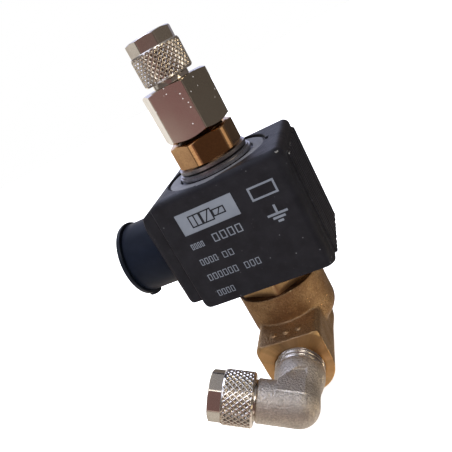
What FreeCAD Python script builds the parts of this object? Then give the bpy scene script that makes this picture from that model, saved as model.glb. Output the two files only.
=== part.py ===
import FreeCAD, Part
import math
import os

# Solenoid valve: a two-port brass body, a magnetic operator screwed into its neck, a moulded
# coil on the operator's tube, and two push-on tube fittings. Millimetres, +Z up.
# Origin: middle of the flat pad under the body, on the axis of the operator.
# The ports lie along Y, the cable entry faces -X.

V = FreeCAD.Vector

# --- driving dimensions: brass body ---
PORT_Z = 10.0              # height of the port axis
PORT_FACE_Y = 20.2         # distance of the front port's face from the operator's axis
BACK_FACE_Y = 14.5         # the same at the back
PORT_THREAD_R = 6.58       # G1/4 major radius
PORT_DEPTH = 12.0
BACK_PORT_DEPTH = 8.0
BOSS_R = 9.0               # half width and underside radius of the port boss
BOSS_TOP = 19.4
BOSS_TURNED_R = 11.4       # turned edge of the port face
NECK_R = 12.47
NECK_LOW = 11.7
NECK_ROUNDING = 4.5
BOSS_ROUNDING = 2.4
NECK_TOP = 27.7
PAD_X = 11.0
PAD_Y = 22.0
PAD_HOLE_R = 1.65          # tapping size of M4
PAD_HOLE_SPACING = 12.0
PAD_HOLE_DEPTH = 5.5
ORIFICE_R = 1.2
SEAT_Z = 19.6
CHAMBER_Z = 17.5
CHAMBER_R = 7.5
BONNET_THREAD_R = 9.0
BONNET_THREAD_LOW = 20.2
SEAL_POCKET_R = 10.35
SEAL_POCKET_Z = 26.2

# --- operator ---
BONNET_CORNER_R = 12.0
BONNET_CORNER_DEG = -83.5
BONNET_TOP = 32.2
TUBE_R = 6.75
TUBE_INNER_R = 5.75
TUBE_TOP = 58.0
CORE_LOW = 49.3
CORE_TOP = 64.4
EXHAUST_R = 1.5
EXHAUST_SEAT_HEIGHT = 0.45
SPIGOT_R = 6.55            # G1/4 external thread
SPIGOT_TOP = 84.2
STROKE = 1.5
PLUNGER_R = 5.68
PLUNGER_LOW = 20.6
PLUNGER_TOP = 47.0
PLUNGER_SHOULDER = 40.0
PLUNGER_NECK_R = 3.5
LOWER_SEAL_R = 3.0
UPPER_SEAL_R = 2.4
SPRING_WIRE = 0.7
SPRING_R = 4.5
SPRING_TURNS = 5

# --- coil ---
COIL_LOW = 32.57
COIL_TOP = 64.85
COIL_FRONT = -15.27
COIL_BACK = 14.2
COIL_LEFT = -16.75
COIL_RIGHT = 19.7
COIL_FRONT_CORNER_R = 2.8
COIL_BACK_CORNER_R = 1.8
COIL_TOP_R = 1.6
COIL_LOW_LEFT_R = 2.6
SHOULDER_X = -14.0         # the top slopes down from here to the cable entry
SHOULDER_END = (-20.3, 62.0)
SHOULDER_DROP = 2.8        # of the bevel between the slope and the entry side
BANDS = [(-9.4, -2.9), (-2.2, 7.4), (8.1, 14.0)]   # raised grip bands on +X, ranges along Y
BAND_HEIGHT = 0.6
BAND_TOP = 61.7
ENTRY_LEFT = -21.7
ENTRY_HALF_Y = 13.7
ENTRY_LOW = 34.9
ENTRY_ROUNDING = 2.2
BORE_R = 6.83              # the coil turns on the tube
RECESS_R = 10.68           # well around the washers
BOTTOM_WELL_R = 9.4
COIL_SEAL_R = 8.9
COIL_GAP = 0.15            # between the seals and the coil that turns over them
FACE_RING_R = 13.76
FACE_RING_TOP = 64.38
FACE_RECESS_R = 14.3
FACE_RECESS_FLOOR = 64.23
FACE_NOTCH_WIDTH = 2.4
YOKE_X = 16.0
YOKE_Y = 11.0
YOKE_LOW = 33.4
YOKE_TOP = 63.4
YOKE_PLATE = 2.0
BOBBIN_R = 12.9
BOBBIN_WALL_R = 7.9
BOBBIN_FLANGE = 1.0
WINDING_R = 12.4

# --- cable entry ---
HUB_Z = 48.05
HUB_R = 10.3
HUB_BORE_R = 7.25          # M16x1.5 tapping size
HUB_END = -34.07
HUB_ROOT = -20.6
HUB_FLANGE_R = 11.4
HUB_FLANGE_THICKNESS = 1.8
PLUG_FLANGE_R = 11.1
PLUG_END = -35.43
PLUG_CUP_R = 7.15
PLUG_CUP_DEPTH = 7.0
PLUG_TAB_WIDTH = 5.5
PLUG_TAB_DEG = -18.0
TERMINAL_STUB_R = 4.6
TERMINAL_FACE = -22.5         # outer face of the terminal block, inside the hub
TERMINAL_STEP = -18.8
TERMINAL_ROOT = -13.6
TERMINAL_TIP = -26.5
TERMINAL_PIN_R = 0.75

# --- washers, coil nut and fittings ---
WASHER_LOW = 64.45
WASHER_HOLE_R = 6.75
FLAT_WASHER_R = 10.2
FLAT_WASHER_THICKNESS = 0.75
WAVE_WASHER_R = 9.8
LOCK_WASHER_R = 9.45
LOCK_WASHER_THICKNESS = 0.85
NUT_LOW = 66.97
NUT_TOP = 73.45
NUT_ACROSS_FLATS = 16.2
NUT_TURNED_R = 8.93
NUT_CORNER_DEG = -95.8
ADAPTER_LOW = 74.2
ADAPTER_TOP = 87.55
ADAPTER_ACROSS_FLATS = 16.1
ADAPTER_CORNER_R = 9.25
ADAPTER_SEAL_THICKNESS = 0.9
ADAPTER_CORNER_DEG = 0.6
STEM_R = 4.84              # thread under the tube nut
STEM_BORE_R = 1.35
STEM_THREAD = 4.6          # thread inside the tube nut
BARB_R = 2.0
TOP_NUT_LOW = 88.76
TUBE_NUT_R = 6.55
TUBE_NUT_KNURL = 7.6
TUBE_NUT_HEAD = 3.3
TUBE_NUT_ACROSS_FLATS = 11.6
TUBE_NUT_TURNED_R = 6.2
TUBE_HOLE_R = 3.1
NUT_CLEARANCE = 0.06
TOP_NUT_TURN_DEG = 32.5    # how far each tube nut happens to be turned
ELBOW_NUT_TURN_DEG = 10.0

# --- elbow ---
ELBOW_Y = -33.18           # corner of the elbow's two axes
ELBOW_RISE_DEG = 28.3      # the outlet leg rises towards -X
ELBOW_HUB_R = 6.5
ELBOW_THREAD_SHOWN = 2.6
ELBOW_THREAD_ENGAGED = 9.0
ELBOW_LEG_R = 5.25
ELBOW_LEG_LENGTH = 9.9
ELBOW_NUT_START = 10.4
ELBOW_FLAT = 5.3           # half height between the two flat forged faces at the corner
ELBOW_FLAT_OUTLINE = [(1.0, -1.4), (1.0, 5.4), (-2.5, 5.4), (-7.0, 1.6), (-7.0, -1.4)]
ELBOW_BORE_R = 2.4

SLIP = 0.02                # assembly gap of screwed and brazed joints


def box(x_range, y_range, z_range):
    size = [high - low for low, high in (x_range, y_range, z_range)]
    return Part.makeBox(*size, V(x_range[0], y_range[0], z_range[0]))


def rod(radius, low, high, x=0.0, y=0.0):
    return Part.makeCylinder(radius, high - low, V(x, y, low))


def tube(inner, outer, low, high):
    return rod(outer, low, high).cut(rod(inner, low, high))


def bar_y(radius, low, high, z, x=0.0):
    return Part.makeCylinder(radius, high - low, V(x, low, z), V(0, 1, 0))


def bar_x(radius, low, high, z, y=0.0):
    return Part.makeCylinder(radius, high - low, V(low, y, z), V(1, 0, 0))


def turned(profile):
    """Solid of revolution about Z from (radius, height) points."""
    points = [V(radius, 0, height) for radius, height in profile]
    face = Part.Face(Part.makePolygon(points + points[:1]))
    return face.revolve(V(0, 0, 0), V(0, 0, 1), 360)


def prism(sides, corner_radius, low, high, first_corner_deg):
    angles = [math.radians(first_corner_deg + 360.0 * k / sides) for k in range(sides)]
    points = [V(corner_radius * math.cos(a), corner_radius * math.sin(a), low) for a in angles]
    face = Part.Face(Part.makePolygon(points + points[:1]))
    return face.extrude(V(0, 0, high - low))


def wrench_prism(sides, across_flats, turned_r, low, high, first_corner_deg, chamfer_low, chamfer_high):
    """Prism whose corners are turned back, with a turned chamfer at the ends that ask for one."""
    corner = across_flats / 2.0 / math.cos(math.pi / sides)
    flat = across_flats / 2.0
    profile = [(0, low), (flat if chamfer_low else turned_r, low)]
    if chamfer_low:
        profile.append((turned_r, low + chamfer_low))
    if chamfer_high:
        profile.append((turned_r, high - chamfer_high))
    profile += [(flat if chamfer_high else turned_r, high), (0, high)]
    return prism(sides, corner, low, high, first_corner_deg).common(turned(profile))


def edges_where(shape, test):
    return [edge for edge in shape.Edges if test(edge)]


def centre_near(axis, value, tolerance=0.05):
    def test(edge):
        return abs(getattr(edge.CenterOfMass, axis) - value) < tolerance
    return test


# ---------------------------------------------------------------- brass body

def port_boss():
    """U-shaped boss through the body, with the corners of both port faces turned."""
    left = V(-BOSS_R, -PORT_FACE_Y, PORT_Z)
    bottom = V(0, -PORT_FACE_Y, PORT_Z - BOSS_R)
    right = V(BOSS_R, -PORT_FACE_Y, PORT_Z)
    top_right = V(BOSS_R, -PORT_FACE_Y, BOSS_TOP)
    top_left = V(-BOSS_R, -PORT_FACE_Y, BOSS_TOP)
    outline = Part.Wire([
        Part.Arc(left, bottom, right).toShape(),
        Part.makeLine(right, top_right),
        Part.makeLine(top_right, top_left),
        Part.makeLine(top_left, left),
    ])
    boss = Part.Face(outline).extrude(V(0, PORT_FACE_Y + BACK_FACE_Y, 0))
    upper_corners = [edge for edge in edges_where(boss, centre_near("z", BOSS_TOP))
                     if abs(edge.CenterOfMass.x) > 1.0]
    boss = boss.makeFillet(BOSS_ROUNDING, upper_corners)
    depth = 2.0
    envelope = turned([
        (0, -PORT_FACE_Y),
        (BOSS_TURNED_R, -PORT_FACE_Y),
        (BOSS_TURNED_R + depth, depth - PORT_FACE_Y),
        (BOSS_TURNED_R + depth, BACK_FACE_Y - depth),
        (BOSS_TURNED_R, BACK_FACE_Y),
        (0, BACK_FACE_Y),
    ])
    envelope.rotate(V(0, 0, 0), V(1, 0, 0), -90)
    envelope.translate(V(0, 0, PORT_Z))
    return boss.common(envelope)


def body_outside():
    neck = rod(NECK_R, NECK_LOW, NECK_TOP)
    neck = neck.makeFillet(NECK_ROUNDING, edges_where(neck, centre_near("z", NECK_LOW)))
    pad = box((-PAD_X / 2, PAD_X / 2), (-PAD_Y / 2, PAD_Y / 2), (0, PORT_Z))
    return neck.fuse([port_boss(), pad])


def port_cut(side, face_y, depth):
    """Threaded port with its countersink; side is 1 at the back and -1 at the front."""
    inner = face_y - depth
    countersink = 0.2
    bore = turned([
        (0, inner),
        (PORT_THREAD_R, inner),
        (PORT_THREAD_R, face_y - countersink),
        (PORT_THREAD_R + countersink, face_y),
        (0, face_y),
    ])
    bore.rotate(V(0, 0, 0), V(1, 0, 0), -90 * side)
    bore.translate(V(0, 0, PORT_Z))
    return bore


def valve_body():
    passage_r = 2.0
    outlet_y = -5.6
    front_end = PORT_DEPTH - PORT_FACE_Y
    back_end = BACK_FACE_Y - BACK_PORT_DEPTH
    chamber = rod(CHAMBER_R, CHAMBER_Z, BONNET_THREAD_LOW).cut(rod(2 * ORIFICE_R, CHAMBER_Z, SEAT_Z))
    cuts = [
        port_cut(1, BACK_FACE_Y, BACK_PORT_DEPTH),
        port_cut(-1, PORT_FACE_Y, PORT_DEPTH),
        chamber,
        rod(ORIFICE_R, PORT_Z, SEAT_Z),
        bar_y(passage_r, -ORIFICE_R, back_end, PORT_Z),
        rod(ORIFICE_R, PORT_Z, CHAMBER_Z, y=outlet_y),
        bar_y(passage_r, front_end, outlet_y + ORIFICE_R, PORT_Z),
        rod(BONNET_THREAD_R, BONNET_THREAD_LOW, NECK_TOP),
        rod(SEAL_POCKET_R, SEAL_POCKET_Z, NECK_TOP),
    ]
    for y in (-PAD_HOLE_SPACING / 2, PAD_HOLE_SPACING / 2):
        cuts.append(rod(PAD_HOLE_R, 0, PAD_HOLE_DEPTH, y=y))
    return body_outside().cut(cuts).removeSplitter()


def bonnet_seal():
    minor = (SEAL_POCKET_R - BONNET_THREAD_R) / 2.0 - SLIP
    middle_z = (SEAL_POCKET_Z + NECK_TOP) / 2.0
    return Part.makeTorus(BONNET_THREAD_R + minor + SLIP, minor, V(0, 0, middle_z))


# ---------------------------------------------------------------- operator

def bonnet():
    across = 2 * BONNET_CORNER_R * math.cos(math.pi / 6)
    head = wrench_prism(6, across, BONNET_CORNER_R - 0.3, NECK_TOP + SLIP, BONNET_TOP,
                        BONNET_CORNER_DEG, 0.0, 0.6)
    thread = rod(BONNET_THREAD_R - SLIP, BONNET_THREAD_LOW + SLIP, NECK_TOP + SLIP)
    return head.fuse(thread).cut(rod(TUBE_R + SLIP, 0, BONNET_TOP)).removeSplitter()


def enclosing_tube():
    return tube(TUBE_INNER_R, TUBE_R, BONNET_THREAD_LOW + SLIP, TUBE_TOP)


def fixed_core():
    """Magnetic stop: exhaust seat below, tube shoulder, threaded spigot above the coil."""
    inside_r = TUBE_INNER_R - SLIP
    seat_r = EXHAUST_R + 0.6
    thread_chamfer = 0.8
    groove = 0.6
    return turned([
        (EXHAUST_R, CORE_LOW - EXHAUST_SEAT_HEIGHT),
        (seat_r, CORE_LOW - EXHAUST_SEAT_HEIGHT),
        (seat_r, CORE_LOW),
        (inside_r, CORE_LOW),
        (inside_r, TUBE_TOP),
        (TUBE_R, TUBE_TOP),
        (TUBE_R, CORE_TOP),
        (SPIGOT_R - groove, CORE_TOP),
        (SPIGOT_R - groove, CORE_TOP + groove),
        (SPIGOT_R, CORE_TOP + 2 * groove),
        (SPIGOT_R, SPIGOT_TOP - thread_chamfer),
        (SPIGOT_R - thread_chamfer, SPIGOT_TOP),
        (EXHAUST_R, SPIGOT_TOP),
    ])


def lower_seal():
    return rod(LOWER_SEAL_R, SEAT_Z + SLIP, PLUNGER_LOW + 1.6)


def upper_seal():
    high = CORE_LOW - EXHAUST_SEAT_HEIGHT - STROKE - SLIP
    return rod(UPPER_SEAL_R, PLUNGER_TOP - 2.0, high)


def plunger():
    """Armature with a reduced top for the spring, seal pockets and two flow slots."""
    chamfer = 0.4
    slot_depth = 1.2
    slot_width = 2.0
    body = turned([
        (0, PLUNGER_LOW),
        (PLUNGER_R - chamfer, PLUNGER_LOW),
        (PLUNGER_R, PLUNGER_LOW + chamfer),
        (PLUNGER_R, PLUNGER_SHOULDER),
        (PLUNGER_NECK_R, PLUNGER_SHOULDER),
        (PLUNGER_NECK_R, PLUNGER_TOP),
        (0, PLUNGER_TOP),
    ])
    cuts = [lower_seal(), upper_seal()]
    for side in (-1, 1):
        outside = sorted((side * PLUNGER_R, side * (PLUNGER_R - slot_depth)))
        cuts.append(box(outside, (-slot_width / 2, slot_width / 2), (PLUNGER_LOW, PLUNGER_SHOULDER)))
    return body.cut(cuts)


def plunger_spring():
    """Wire helix between the plunger's shoulder and the core."""
    low = PLUNGER_SHOULDER + SPRING_WIRE / 2 + SLIP
    high = CORE_LOW - SPRING_WIRE / 2 - SLIP
    pitch = (high - low) / SPRING_TURNS
    helix = Part.makeLongHelix(pitch, high - low, SPRING_R)
    tangent = V(0, 2 * math.pi * SPRING_R, pitch)
    section = Part.Wire(Part.makeCircle(SPRING_WIRE / 2, V(SPRING_R, 0, 0), tangent))
    wire = Part.Wire(helix).makePipeShell([section], True, True)
    wire.translate(V(0, 0, low))
    return wire


# ---------------------------------------------------------------- coil

def yoke_frame():
    outer = box((-YOKE_X, YOKE_X), (-YOKE_Y, YOKE_Y), (YOKE_LOW, YOKE_TOP))
    inner_x = YOKE_X - YOKE_PLATE
    inner = box((-inner_x, inner_x), (-YOKE_Y, YOKE_Y), (YOKE_LOW + YOKE_PLATE, YOKE_TOP - YOKE_PLATE))
    entry = bar_x(TERMINAL_STUB_R, -YOKE_X, -inner_x, HUB_Z)
    return outer.cut([inner, rod(BORE_R, YOKE_LOW, YOKE_TOP), entry])


def coil_bobbin():
    low = YOKE_LOW + YOKE_PLATE
    high = YOKE_TOP - YOKE_PLATE
    wall = tube(BORE_R, BOBBIN_WALL_R, low, high)
    flanges = [tube(BORE_R, BOBBIN_R, z, z + BOBBIN_FLANGE) for z in (low, high - BOBBIN_FLANGE)]
    return wall.fuse(flanges).removeSplitter()


def coil_winding():
    inset = YOKE_PLATE + BOBBIN_FLANGE
    return tube(BOBBIN_WALL_R, WINDING_R, YOKE_LOW + inset, YOKE_TOP - inset)


def coil_face_ring():
    return tube(RECESS_R, FACE_RING_R, YOKE_TOP, FACE_RING_TOP)


def terminal_pins():
    """Two lead pins and, last, the earth pin."""
    places = [(2.3, 1.3), (-2.3, 1.3), (0.0, -2.4)]
    return [bar_x(TERMINAL_PIN_R, TERMINAL_TIP, TERMINAL_ROOT, HUB_Z + z, y) for y, z in places]


def terminal_block():
    disc = bar_x(HUB_BORE_R - SLIP, TERMINAL_FACE, TERMINAL_STEP, HUB_Z)
    stub = bar_x(TERMINAL_STUB_R, TERMINAL_STEP, TERMINAL_ROOT, HUB_Z)
    return disc.fuse(stub).removeSplitter().cut(terminal_pins())


def lead_terminals():
    return Part.makeCompound(terminal_pins()[:2])


def earth_terminal():
    return terminal_pins()[2]


def conduit_hub():
    """Threaded cable entry, anchored in the moulding by its flange."""
    sleeve = bar_x(HUB_R, HUB_END, HUB_ROOT, HUB_Z)
    flange = bar_x(HUB_FLANGE_R, HUB_ROOT, HUB_ROOT + HUB_FLANGE_THICKNESS, HUB_Z)
    bore = bar_x(HUB_BORE_R, HUB_END, HUB_ROOT + HUB_FLANGE_THICKNESS, HUB_Z)
    return sleeve.fuse(flange).cut(bore).removeSplitter()


def dust_plug():
    """Push-in plug: tapered cup, thin flange against the hub's end, pull tab below."""
    wall = 1.1
    taper = 0.3
    gap = 0.05
    seat = HUB_END - gap
    tip = seat + PLUG_CUP_DEPTH
    flange = bar_x(PLUG_FLANGE_R, PLUG_END, seat, HUB_Z)
    cup = Part.makeCone(PLUG_CUP_R, PLUG_CUP_R - taper, PLUG_CUP_DEPTH, V(seat, 0, HUB_Z), V(1, 0, 0))
    hollow = bar_x(PLUG_CUP_R - taper - wall, PLUG_END, tip - wall, HUB_Z)
    tab = box((PLUG_END, seat), (-PLUG_TAB_WIDTH / 2, PLUG_TAB_WIDTH / 2),
              (HUB_Z - PLUG_FLANGE_R - 0.6, HUB_Z - HUB_R))
    tab.rotate(V(0, 0, HUB_Z), V(1, 0, 0), PLUG_TAB_DEG)
    return flange.fuse([cup, tab]).cut(hollow).removeSplitter()


def housing_outside():
    """Moulded block with grip bands on +X and a sloping, stepped shoulder on the entry side."""
    main = box((COIL_LEFT, COIL_RIGHT), (COIL_FRONT, COIL_BACK), (COIL_LOW, COIL_TOP))
    for y, radius in ((COIL_FRONT, COIL_FRONT_CORNER_R), (COIL_BACK, COIL_BACK_CORNER_R)):
        corner = [edge for edge in edges_where(main, centre_near("x", COIL_RIGHT))
                  if abs(edge.CenterOfMass.y - y) < 0.1
                  and abs(edge.CenterOfMass.z - (COIL_LOW + COIL_TOP) / 2) < 0.1]
        main = main.makeFillet(radius, corner)
    top_edges = [edge for edge in edges_where(main, centre_near("z", COIL_TOP))
                 if edge.CenterOfMass.x > COIL_LEFT + 0.1]
    main = main.makeFillet(COIL_TOP_R, top_edges)
    low_left = [edge for edge in edges_where(main, centre_near("z", COIL_LOW))
                if abs(edge.CenterOfMass.x - COIL_LEFT) < 0.1]
    main = main.makeFillet(COIL_LOW_LEFT_R, low_left)
    bands = [box((COIL_RIGHT - 1.0, COIL_RIGHT + BAND_HEIGHT), band, (COIL_LOW, BAND_TOP))
             for band in BANDS]
    entry = box((ENTRY_LEFT, COIL_LEFT + 4.0), (-ENTRY_HALF_Y, ENTRY_HALF_Y), (ENTRY_LOW, COIL_TOP))
    left_edges = edges_where(entry, centre_near("x", ENTRY_LEFT))
    entry = entry.makeFillet(ENTRY_ROUNDING,
                             [edge for edge in left_edges if edge.CenterOfMass.z < COIL_TOP - 1.0])
    return main.fuse(bands + [entry]).cut(above_shoulder())


def above_shoulder():
    """Wedge above the slope that leads from the coil's top down to the entry side."""
    slope_x, slope_z = SHOULDER_END
    beyond_y = 20.0
    beyond_x = ENTRY_LEFT - 5.0
    above = COIL_TOP + 1.0
    outline = [
        V(SHOULDER_X, -beyond_y, COIL_TOP),
        V(slope_x, -beyond_y, slope_z),
        V(ENTRY_LEFT, -beyond_y, slope_z - SHOULDER_DROP),
        V(beyond_x, -beyond_y, slope_z - SHOULDER_DROP),
        V(beyond_x, -beyond_y, above),
        V(SHOULDER_X, -beyond_y, above),
    ]
    return Part.Face(Part.makePolygon(outline + outline[:1])).extrude(V(0, 2 * beyond_y, 0))


def coil_housing():
    top_well = rod(RECESS_R, YOKE_TOP, COIL_TOP)
    ring_seat = rod(FACE_RING_R, YOKE_TOP, COIL_TOP)
    ring_recess = rod(FACE_RECESS_R, FACE_RECESS_FLOOR, COIL_TOP)
    notch = box((FACE_RING_R, FACE_RECESS_R + 1.0), (-FACE_NOTCH_WIDTH / 2, FACE_NOTCH_WIDTH / 2),
                (FACE_RECESS_FLOOR, COIL_TOP))
    bottom_well = rod(BOTTOM_WELL_R, COIL_LOW, YOKE_LOW)
    bore = rod(BORE_R, COIL_LOW, COIL_TOP)
    yoke = yoke_frame()
    winding = rod(WINDING_R, YOKE_LOW + YOKE_PLATE, YOKE_TOP - YOKE_PLATE)
    flanges = [rod(BOBBIN_R, z, z + BOBBIN_FLANGE)
               for z in (YOKE_LOW + YOKE_PLATE, YOKE_TOP - YOKE_PLATE - BOBBIN_FLANGE)]
    hub_seat = bar_x(HUB_FLANGE_R, HUB_ROOT, HUB_ROOT + HUB_FLANGE_THICKNESS, HUB_Z)
    hub_hole = bar_x(HUB_R, ENTRY_LEFT, HUB_ROOT, HUB_Z)
    stub_hole = bar_x(TERMINAL_STUB_R, HUB_ROOT, TERMINAL_ROOT, HUB_Z)
    cuts = [top_well, ring_seat, ring_recess, notch, bottom_well, bore, yoke, winding]
    return housing_outside().cut(cuts + flanges + [hub_seat, hub_hole, stub_hole]).removeSplitter()


def coil_lower_seal():
    return tube(TUBE_R + SLIP, COIL_SEAL_R, BONNET_TOP + SLIP, YOKE_LOW - COIL_GAP)


def coil_upper_seal():
    return tube(TUBE_R + SLIP, COIL_SEAL_R, YOKE_TOP + COIL_GAP, WASHER_LOW)


# ---------------------------------------------------------------- washers and coil nut

def flat_washer():
    return tube(WASHER_HOLE_R, FLAT_WASHER_R, WASHER_LOW, WASHER_LOW + FLAT_WASHER_THICKNESS)


def wave_washer():
    """Dished spring washer between the flat and the lock washer."""
    low = WASHER_LOW + FLAT_WASHER_THICKNESS
    high = NUT_LOW - LOCK_WASHER_THICKNESS
    thickness = 0.5
    return turned([
        (WASHER_HOLE_R, high - thickness),
        (WAVE_WASHER_R, low),
        (WAVE_WASHER_R, low + thickness),
        (WASHER_HOLE_R, high),
    ])


def lock_washer():
    """Split ring under the coil nut."""
    ring = tube(WASHER_HOLE_R, LOCK_WASHER_R, NUT_LOW - LOCK_WASHER_THICKNESS, NUT_LOW)
    split_width = 0.8
    split = box((0, LOCK_WASHER_R + 1), (-split_width / 2, split_width / 2), (WASHER_LOW, NUT_LOW))
    split.rotate(V(0, 0, 0), V(0, 0, 1), 150)
    return ring.cut(split)


def coil_nut():
    blank = wrench_prism(6, NUT_ACROSS_FLATS, NUT_TURNED_R, NUT_LOW, NUT_TOP,
                         NUT_CORNER_DEG, 0.5, 0.5)
    return blank.cut(rod(SPIGOT_R + SLIP, NUT_LOW, NUT_TOP))


# ---------------------------------------------------------------- tube fittings

def tube_stem(start, nut_start):
    """Threaded stem and barb along +Z: the stem's shoulder is at start, its nut at nut_start."""
    thread_end = nut_start + STEM_THREAD
    barb_end = nut_start + TUBE_NUT_KNURL + TUBE_NUT_HEAD - 0.4
    return [
        (STEM_R, start),
        (STEM_R, thread_end),
        (BARB_R - 0.15, thread_end + 0.6),
        (BARB_R - 0.15, barb_end - 2.4),
        (BARB_R, barb_end - 2.2),
        (BARB_R - 0.35, barb_end),
        (STEM_BORE_R, barb_end),
    ]


def adapter_seal():
    return tube(2 * EXHAUST_R, SPIGOT_R - 0.2, SPIGOT_TOP, SPIGOT_TOP + ADAPTER_SEAL_THICKNESS)


def top_adapter():
    """Long hex with a female thread below and a tube stem above."""
    hexagon = wrench_prism(6, ADAPTER_ACROSS_FLATS, ADAPTER_CORNER_R, ADAPTER_LOW, ADAPTER_TOP,
                           ADAPTER_CORNER_DEG, 0.75, 0.45)
    socket_r = SPIGOT_R + SLIP
    roof = SPIGOT_TOP + ADAPTER_SEAL_THICKNESS
    stem = turned([(STEM_BORE_R, ADAPTER_TOP - 1.0), (STEM_R, ADAPTER_TOP - 1.0)]
                  + tube_stem(ADAPTER_TOP, TOP_NUT_LOW))
    hollow = rod(socket_r, ADAPTER_LOW, roof).fuse(rod(STEM_BORE_R, roof, ADAPTER_TOP))
    return hexagon.cut(hollow).fuse(stem).removeSplitter()


def tube_nut():
    """Knurled nut with an eight-sided head, along +Z from its open end."""
    chamfer = 0.4
    end = TUBE_NUT_KNURL + TUBE_NUT_HEAD
    grip = turned([
        (0, 0),
        (TUBE_NUT_R - chamfer, 0),
        (TUBE_NUT_R, chamfer),
        (TUBE_NUT_R, TUBE_NUT_KNURL - chamfer),
        (TUBE_NUT_R - chamfer, TUBE_NUT_KNURL),
        (0, TUBE_NUT_KNURL),
    ])
    head = wrench_prism(8, TUBE_NUT_ACROSS_FLATS, TUBE_NUT_TURNED_R, TUBE_NUT_KNURL - 1.0, end,
                        0.0, 0.0, 0.3)
    thread_r = STEM_R + NUT_CLEARANCE
    hollow = turned([
        (0, 0),
        (thread_r, 0),
        (thread_r, 5.6),
        (TUBE_HOLE_R, 7.6),
        (TUBE_HOLE_R, end),
        (0, end),
    ])
    return grip.fuse(head).cut(hollow).removeSplitter()


def top_tube_nut():
    nut = tube_nut()
    nut.rotate(V(0, 0, 0), V(0, 0, 1), TOP_NUT_TURN_DEG)
    nut.translate(V(0, 0, TOP_NUT_LOW))
    return nut


def on_elbow(shape):
    """Moves a shape made along +Z onto the elbow's outlet leg: local X is -Y, local Z the leg."""
    rise = math.radians(ELBOW_RISE_DEG)
    leg = V(-math.cos(rise), 0, math.sin(rise))
    front = V(0, -1, 0)
    turn = FreeCAD.Rotation(front, leg.cross(front), leg, "ZXY")
    moved = shape.copy()
    moved.Placement = FreeCAD.Placement(V(0, ELBOW_Y, PORT_Z), turn).multiply(shape.Placement)
    return moved


def elbow_tube_nut():
    nut = tube_nut()
    nut.rotate(V(0, 0, 0), V(0, 0, 1), ELBOW_NUT_TURN_DEG)
    nut.translate(V(0, 0, ELBOW_NUT_START))
    return on_elbow(nut)


def inlet_leg(profile):
    """Turned profile of (radius, distance from the elbow's corner) laid along local -X."""
    leg = turned(profile)
    leg.rotate(V(0, 0, 0), V(0, 1, 0), -90)
    return leg


def elbow_flats(low, high):
    """Slab with the outline of the corner's flat faces, between two heights in the elbow's axes."""
    outline = [V(x, low, z) for x, z in ELBOW_FLAT_OUTLINE]
    return Part.Face(Part.makePolygon(outline + outline[:1])).extrude(V(0, high - low, 0))


def elbow_body():
    """Forged elbow: threaded hub into the port, flats at the corner, tube stem on the outlet."""
    reach = -ELBOW_Y
    face = reach - PORT_FACE_Y
    hub_end = face - ELBOW_THREAD_SHOWN
    thread_end = face + ELBOW_THREAD_ENGAGED
    inlet = inlet_leg([
        (0, 0),
        (ELBOW_LEG_R, 0),
        (ELBOW_LEG_R, hub_end - 4.0),
        (ELBOW_HUB_R, hub_end - 1.8),
        (ELBOW_HUB_R, hub_end),
        (PORT_THREAD_R - SLIP, hub_end),
        (PORT_THREAD_R - SLIP, thread_end),
        (0, thread_end),
    ])
    corner = Part.makeSphere(ELBOW_LEG_R)
    outlet = turned([(STEM_BORE_R, 0), (ELBOW_LEG_R, 0), (ELBOW_LEG_R, ELBOW_LEG_LENGTH)]
                    + tube_stem(ELBOW_LEG_LENGTH, ELBOW_NUT_START))
    solid = inlet.fuse([corner, outlet, elbow_flats(-ELBOW_FLAT, ELBOW_FLAT)])
    bores = [
        inlet_leg([(0, 0), (ELBOW_BORE_R, 0), (ELBOW_BORE_R, thread_end), (0, thread_end)]),
        rod(STEM_BORE_R, 0, ELBOW_LEG_LENGTH),
        elbow_flats(ELBOW_FLAT, ELBOW_HUB_R + 1),
        elbow_flats(-ELBOW_HUB_R - 1, -ELBOW_FLAT),
    ]
    return on_elbow(solid.cut(bores).removeSplitter())


NODES = {
    "valve_body": valve_body,
    "bonnet_seal": bonnet_seal,
    "bonnet": bonnet,
    "enclosing_tube": enclosing_tube,
    "fixed_core": fixed_core,
    "plunger": plunger,
    "plunger_lower_seal": lower_seal,
    "plunger_upper_seal": upper_seal,
    "plunger_spring": plunger_spring,
    "coil_housing": coil_housing,
    "yoke_frame": yoke_frame,
    "coil_bobbin": coil_bobbin,
    "coil_winding": coil_winding,
    "coil_face_ring": coil_face_ring,
    "conduit_hub": conduit_hub,
    "terminal_block": terminal_block,
    "lead_terminals": lead_terminals,
    "earth_terminal": earth_terminal,
    "dust_plug": dust_plug,
    "coil_lower_seal": coil_lower_seal,
    "coil_upper_seal": coil_upper_seal,
    "flat_washer": flat_washer,
    "wave_washer": wave_washer,
    "lock_washer": lock_washer,
    "coil_nut": coil_nut,
    "adapter_seal": adapter_seal,
    "top_adapter": top_adapter,
    "top_tube_nut": top_tube_nut,
    "elbow_body": elbow_body,
    "elbow_tube_nut": elbow_tube_nut,
}


def main():
    os.makedirs("parts", exist_ok=True)
    for name, make in NODES.items():
        shape = make()
        if not shape.isValid() or not shape.Solids:
            raise ValueError(name + " is not a valid solid")
        shape.exportStep("parts/" + name + ".step")
        print(name, len(shape.Solids), round(shape.Volume, 1))


main()
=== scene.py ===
import math

import bpy
import numpy as np
from mathutils import Matrix, Vector

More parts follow.
